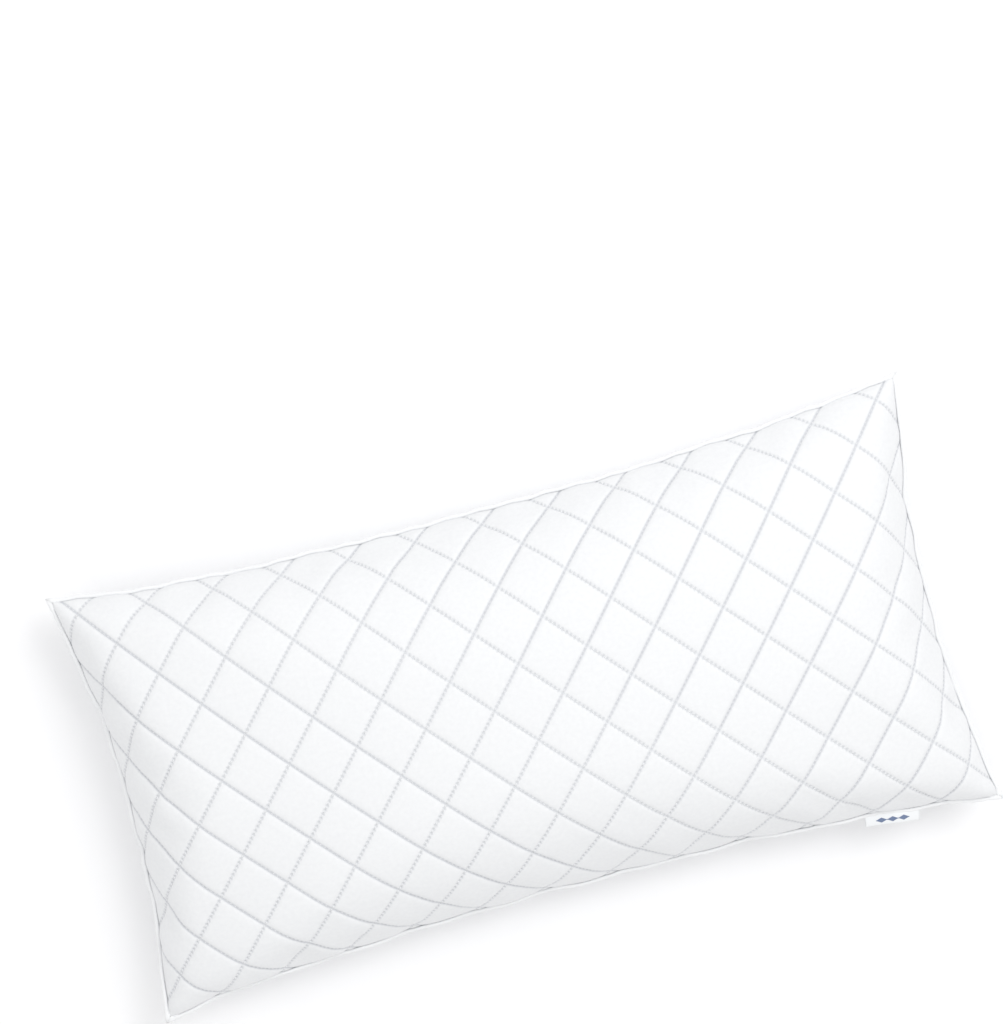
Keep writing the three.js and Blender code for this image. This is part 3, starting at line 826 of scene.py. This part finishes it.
# %% Sweep helper
def swept(name, rings, closed):
    """A bar through rings of points, closed on itself or capped at both ends."""
    count, size = rings.shape[:2]
    faces = []
    for i in range(count if closed else count - 1):
        here, there = i * size, (i + 1) % count * size
        for k in range(size):
            after = (k + 1) % size
            faces.append((here + k, there + k, there + after, here + after))
    if not closed:
        faces += [tuple(range(size)), tuple(range((count - 1) * size, count * size))[::-1]]
    return add_mesh(name, rings.reshape(-1, 3), faces)


# %% The seam's lip
LIP_WIDTH = 3.2 * MM
LIP_HEIGHT = 2.8 * MM
LIP_SIDES = 10
# Share of the lip's size, pitch and phase of its two rows of puckers.
LIP_PUCKERS = ((0.07, 8.5 * MM, 0), (0.05, 21 * MM, 1))
EDGE_STEP = 2 * MM
EAR_BUNCH = 3 * MM
EAR_LENGTH = 7 * MM


def edge_line(axis, sign):
    """Places along one side of the seam, and the outward direction at each."""
    half, other = (HALF_LENGTH, HALF_WIDTH) if axis == 0 else (HALF_WIDTH, HALF_LENGTH)
    run = np.linspace(-other, other, int(2 * other / EDGE_STEP) + 1)
    fixed = np.full_like(run, sign * half)
    place = bag_place(0, fixed, run) if axis == 0 else bag_place(0, run, fixed)
    outward = np.cross(np.gradient(place, axis=0), [0, 0, 1.0])
    outward = unit(outward * (sign if axis == 0 else -sign))
    # At a corner both sides use the same slanting direction, so their ends meet.
    for end in (0, -1):
        corner = np.sign(place[end, :2])
        outward[end] = [corner[0], corner[1], 0]
    return place, outward


def seam_lip(axis, sign, name):
    """The lip of one side."""
    place, outward = edge_line(axis, sign)
    run = np.arange(len(place)) * EDGE_STEP
    swell = np.ones(len(run))
    for share, pitch, phase in LIP_PUCKERS:
        swell += share * np.sin(2 * math.pi * run / pitch + phase)
    swell[0] = swell[-1] = 1
    # Four layers of cloth are bunched in each ear, so the lip spreads inwards there.
    inwards = EAR_BUNCH * np.exp(-np.minimum(run, run[::-1]) / EAR_LENGTH)
    turn = 2 * math.pi * np.arange(LIP_SIDES) / LIP_SIDES
    reach = swell[:, None] * LIP_WIDTH / 2 * (1 + np.cos(turn)) - inwards[:, None] * (1 - np.cos(turn)) / 2
    rings = place[:, None, :] + outward[:, None, :] * reach[..., None]
    rings[..., 2] += swell[:, None] * LIP_HEIGHT / 2 * np.sin(turn)
    if (axis == 0) == (sign > 0):
        rings = rings[:, ::-1]
    return swept(name, rings, closed=False)


def turned_edge_with_highlight():
    """The cover's microfibre, turned in and pressed, with its weave at the same drawn scale, and a little
    lighter as a painted highlight.
    """
    # Painted highlight: the lip is a little lighter than the cover's cloth, so it shows as a bright line
    # along the seam.
    material, tree, shader = new_material("turned_microfibre_edge_highlight", "#ECEDEE", 0.7, Sheen_Weight=0.25)
    where = add_node(tree, "ShaderNodeTexCoord").outputs["Object"]
    weave = add_node(tree, "ShaderNodeTexNoise", {"Vector": where}, {"Scale": 1 / WEAVE_WIDTH, "Detail": 2.0})
    fine = add_node(tree, "ShaderNodeBump", {"Height": weave.outputs["Fac"]},
                    {"Strength": 0.3, "Distance": 0.15 * MM})
    tree.links.new(fine.outputs["Normal"], shader.inputs["Normal"])
    return material


lip_cloth_with_highlight = turned_edge_with_highlight()
for side, axis, sign in (("front", 1, -1), ("back", 1, 1), ("left", 0, -1), ("right", 0, 1)):
    lip = seam_lip(axis, sign, f"seam_edge_{side}")
    lip.data.materials.append(lip_cloth_with_highlight)
    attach(lip, "root")
    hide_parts(f"seam_lip_{side}")
    print(lip.name, "length mm", round(max(lip.dimensions) / MM, 1))

# %% [markdown]
# The stitches that close the seam sit in the groove between the lip and the panel. Only their top
# shows, so the thread is one thin ring that swells at each stitch.

# %% The seam's thread
SEAM_STITCH_PITCH = 2 * EDGE_STEP
SEAM_THREAD_RADIUS = 0.45 * MM
SEAM_THREAD_SWELL = 0.15 * MM
SEAM_THREAD_SIDES = 6
SEAM_THREAD_OUT = 0.3 * MM
SEAM_THREAD_UP = 0.9 * MM
POINTS_OFF_CORNER = 3


def seam_thread():
    """One ring of thread all the way round, just above the seam."""
    sides = []
    for axis, sign, way in ((1, -1, 1), (0, 1, 1), (1, 1, -1), (0, -1, -1)):
        place, outward = edge_line(axis, sign)
        line = (place + outward * SEAM_THREAD_OUT)[POINTS_OFF_CORNER:-POINTS_OFF_CORNER]
        sides.append(line[::way])
    line = np.concatenate(sides)
    run = np.arange(len(line)) * EDGE_STEP
    radius = SEAM_THREAD_RADIUS + SEAM_THREAD_SWELL * np.sin(2 * math.pi * run / SEAM_STITCH_PITCH + 0.8)
    forward = unit(np.roll(line, -1, axis=0) - np.roll(line, 1, axis=0))
    sideways = unit(np.cross(forward, [0, 0, 1.0]))
    up = np.cross(sideways, forward)
    turn = 2 * math.pi * np.arange(SEAM_THREAD_SIDES) / SEAM_THREAD_SIDES
    rings = line[:, None, :] + radius[:, None, None] * (
        np.cos(turn)[None, :, None] * sideways[:, None, :] + np.sin(turn)[None, :, None] * up[:, None, :]
    )
    rings[..., 2] += SEAM_THREAD_UP
    return swept("seam_stitches", rings, closed=True)


seam = seam_thread()
seam.data.materials.append(thread)
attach(seam, "root")
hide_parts("seam_thread")
print("seam ring faces:", len(seam.data.polygons))

# %% [markdown]
# The label is a satin ribbon folded in half, with its cut ends caught in the seam. It is swept as
# one strip that goes out along the upper ply, round the fold and back along the lower ply, and
# droops a little. The real one carries lettering; here a generic row of diamonds is woven in.

# %% The label's place and shape
LABEL_WIDTH = 49 * MM
LABEL_REACH = 9 * MM
LABEL_HELD = 3 * MM
LABEL_DROOP = 0.22
DROOP_SLANT = 0.3
CURL_HEIGHT = 0.4 * MM
CURL_HALF_WAVES = 3.1
CURL_PHASE = 0.6
PLY = 0.35 * MM
FOLD_RADIUS = 0.5 * MM


def label_seat():
    """The label's start in the seam, and its right, out and up directions."""
    label_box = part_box("label_ribbon")
    front_line = np.linspace(0, HALF_LENGTH, 200)
    front_places = bag_place(0, front_line, np.full(200, -HALF_WIDTH))[:, 0]
    along = np.interp((label_box[0].x + label_box[1].x) / 2, front_places, front_line)
    left, right = bag_place(0, along + LABEL_WIDTH * np.array([-0.5, 0.5]), np.full(2, -HALF_WIDTH))
    rightwards = unit(right - left)
    out = unit(np.cross(rightwards, [0, 0, 1.0]))
    start = (left + right) / 2 + out * (LIP_WIDTH - LABEL_HELD)
    return start, rightwards, out, np.cross(rightwards, -out)


label_start, label_right, label_out, label_up = label_seat()
print("label starts at, mm:", np.round(label_start / MM, 1))


def label_place(side, out, up):
    """A place on the drooping label from its own flat coordinates, in metres."""
    droop = -LABEL_DROOP * out**2 / LABEL_REACH * (1 - DROOP_SLANT * side / LABEL_WIDTH)
    wave = np.sin(CURL_HALF_WAVES * side / LABEL_WIDTH * math.pi + CURL_PHASE)
    curl = CURL_HEIGHT * wave * out / LABEL_REACH
    return (label_start + np.multiply.outer(side, label_right) + np.multiply.outer(out, label_out)
            + np.multiply.outer(up + droop + curl, label_up))


# %% The folded ribbon
def ribbon_path():
    """(out, up) along the middle of the ribbon's cloth, and the direction across its thickness."""
    length = LABEL_HELD + LABEL_REACH - FOLD_RADIUS
    out = np.linspace(0, length, 8)
    turn = np.linspace(math.pi / 2, -math.pi / 2, 7)[1:-1]
    path = [(x, FOLD_RADIUS) for x in out]
    path += [(length + FOLD_RADIUS * math.cos(t), FOLD_RADIUS * math.sin(t)) for t in turn]
    path += [(x, -FOLD_RADIUS) for x in out[::-1]]
    path = np.array(path)
    way = unit(np.gradient(path, axis=0))
    return path, np.stack([-way[:, 1], way[:, 0]], axis=1)


def ribbon_rings():
    """The whole label as rings of points, from its left edge to its right."""
    path, across = ribbon_path()
    section = np.concatenate([path + across * PLY / 2, (path - across * PLY / 2)[::-1]])
    edges = np.linspace(-LABEL_WIDTH / 2, LABEL_WIDTH / 2, 25)
    return np.array([label_place(np.full(len(section), s), section[:, 0], section[:, 1]) for s in edges])


def folded_strip(name, rings):
    """A closed strip from rings that fold back on themselves, with its two ends laddered shut."""
    count, size = rings.shape[:2]
    faces = []
    for i in range(count - 1):
        for k in range(size):
            a, b = i * size + k, i * size + (k + 1) % size
            faces.append((a, b, b + size, a + size))
    for first, way in ((0, 1), ((count - 1) * size, -1)):
        for k in range(size // 2 - 1):
            a, b = first + k, first + size - 1 - k
            faces.append((a, a + 1, b - 1, b)[::way])
    return add_mesh(name, rings.reshape(-1, 3), faces)


# %% [markdown]
# Satin is woven with long floats of polyester that lie side by side, which gives the ribbon a soft
# gloss along one direction. Its rib is 0.25 mm, too fine to show, so it is drawn at 4.4 mm.

# %% Material: satin ribbon
RIB_WIDTH = 4.398 * MM


def satin_ribbon():
    """White polyester satin with a soft gloss."""
    material, tree, shader = new_material(
        "woven_satin_ribbon", "#EFF1F3", 0.38, Sheen_Weight=0.15, Anisotropic=0.5, Coat_Weight=0.1,
    )
    where = add_node(tree, "ShaderNodeTexCoord").outputs["Object"]
    rib = add_node(tree, "ShaderNodeTexWave", {"Vector": where},
                   {"Scale": 2 * math.pi / (PHASE_ACROSS_X * RIB_WIDTH), "Detail": 1.0}, bands_direction="X")
    ribs = add_node(tree, "ShaderNodeBump", {"Height": rib.outputs["Fac"]},
                    {"Strength": 0.35, "Distance": 0.08 * MM})
    tree.links.new(ribs.outputs["Normal"], shader.inputs["Normal"])
    return material


label = folded_strip("satin_label", ribbon_rings())
label.data.materials.append(satin_ribbon())
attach(label, "root")
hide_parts("label_ribbon")
print("label, mm:", np.round(np.array(label.dimensions) / MM, 1))

# %% [markdown]
# A woven label's pattern is a second yarn that comes up to the face where the pattern is and stays
# behind it elsewhere. So the motif is a thin layer that rises a little from the upper ply and bends
# with it. Its yarn is dull blue-grey polyester, mottled where its floats cross the white ones.

# %% The woven motif
MOTIF_DIAMONDS = 3
MOTIF_LENGTH = 30 * MM
MOTIF_WIDTH = 5 * MM
MOTIF_STEPS = 10
MOTIF_WAIST = 0.1
MOTIF_RISE = 0.12 * MM
MOTIF_SUNK = 0.1 * MM


def woven_motif():
    """A row of joined diamonds, laid on the upper ply and bent with it."""
    pitch = MOTIF_LENGTH / MOTIF_DIAMONDS
    side = np.linspace(-MOTIF_LENGTH / 2, MOTIF_LENGTH / 2, MOTIF_DIAMONDS * MOTIF_STEPS + 1)
    phase = np.abs(((side + MOTIF_LENGTH / 2) / pitch) % 1 - 0.5) * 2
    half = MOTIF_WIDTH / 2 * np.maximum(1 - phase, MOTIF_WAIST)
    middle = LABEL_HELD + LABEL_REACH / 2
    ply_top = FOLD_RADIUS + PLY / 2
    across = np.linspace(-1, 1, 7)
    section = [(t, ply_top + MOTIF_RISE) for t in across]
    section += [(t, ply_top - MOTIF_SUNK) for t in across[::-1]]
    rows = [label_place(side, middle + t * half, np.full_like(side, height)) for t, height in section]
    return swept("woven_motif", np.stack(rows, axis=1), closed=False)


def woven_yarn():
    """Blue-grey polyester yarn, woven flat: matt and a little mottled."""
    material, tree, shader = new_material("woven_blue_grey_yarn", "#66779A", 0.6, Sheen_Weight=0.2)
    where = add_node(tree, "ShaderNodeTexCoord").outputs["Object"]
    floats = add_node(tree, "ShaderNodeTexNoise", {"Vector": where}, {"Scale": 1 / (0.5 * MM), "Detail": 1.0})
    tone = add_node(tree, "ShaderNodeMix", {"Factor": floats.outputs["Fac"]},
                    {"A": linear("#5A6B8E"), "B": linear("#7B8AA8")}, data_type="RGBA")
    tree.links.new(tone.outputs["Result"], shader.inputs["Base Color"])
    return material


motif = woven_motif()
motif.data.materials.append(woven_yarn())
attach(motif, "root")
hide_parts("label_motif")
print("motif, mm:", np.round(np.array(motif.dimensions) / MM, 1))

# %% [markdown]
# The pillow lies on a plain pale floor in a bright white studio. One large soft light stands at the
# far right, and a wider, weaker one hangs overhead a little to the left, so the shadow is short,
# soft and widest on the left.

# %% Floor and light
FLOOR_GAP = 0.2 * MM
LIT_HEIGHT = 60 * MM
SURROUND_STRENGTH = 0.84
floor = add_floor("studio_floor", 6)
floor.location.z = bed_height - FLOOR_GAP
floor.data.materials.append(new_material("pale_studio_floor", "#F7F7F8", 0.9)[0])

TURN = math.radians(14.9)
picture_right = Vector((math.cos(TURN), -math.sin(TURN), 0))
picture_up = Vector((math.sin(TURN), math.cos(TURN), 0))


def area_light(name, place, size, watts):
    """A square soft light that faces the pillow."""
    data = bpy.data.lights.new(name, "AREA")
    data.size = size
    data.energy = watts
    lamp = bpy.data.objects.new(name, data)
    lamp.location = place
    lamp.rotation_euler = (Vector((0, 0, LIT_HEIGHT)) - Vector(place)).to_track_quat("-Z", "Y").to_euler()
    bpy.context.scene.collection.objects.link(lamp)


area_light("key", picture_right * 1.0 + picture_up * 1.4 + Vector((0, 0, 2.5)), size=1.5, watts=27)
area_light("top", picture_right * -0.8 + Vector((0, 0, 3.2)), size=2.6, watts=14)
world = bpy.data.worlds.new("white_studio")
world.use_nodes = True
surround = world.node_tree.nodes["Background"]
surround.inputs["Color"].default_value = linear("#FFFFFF")
surround.inputs["Strength"].default_value = SURROUND_STRENGTH
bpy.context.scene.world = world
bpy.context.scene.view_settings.view_transform = "Standard"
print("lights:", len(bpy.data.lights))

# %% [markdown]
# The camera looks down from three metres away with a long lens, from 7 degrees to the far side of
# straight above, and the pillow lies a little turned and low in the frame.

# %% Camera
SEEN_WIDTH = 0.8865
DISTANCE = 3.0
LEAN = math.radians(7)
SENSOR = 36.0
AIM_HEIGHT = 58 * MM
PILLOW_RIGHT_OF_MIDDLE = 23.9 * MM
PILLOW_BELOW_MIDDLE = 165.5 * MM

backwards = Vector((0, math.sin(LEAN), math.cos(LEAN)))
upwards = (picture_up - picture_up.dot(backwards) * backwards).normalized()
rightwards = upwards.cross(backwards)
pillow_middle = Vector((0, 0, AIM_HEIGHT))
aim = pillow_middle - rightwards * PILLOW_RIGHT_OF_MIDDLE + upwards * PILLOW_BELOW_MIDDLE
camera_data = bpy.data.cameras.new("camera")
camera_data.sensor_fit = "HORIZONTAL"
camera_data.sensor_width = SENSOR
camera_data.lens = SENSOR * DISTANCE / SEEN_WIDTH
camera = bpy.data.objects.new("camera", camera_data)
axes = Matrix((rightwards, upwards, backwards)).transposed().to_4x4()
camera.matrix_world = Matrix.Translation(aim + backwards * DISTANCE) @ axes
bpy.context.scene.collection.objects.link(camera)
bpy.context.scene.camera = camera
print("lens", round(camera_data.lens, 1), "mm")
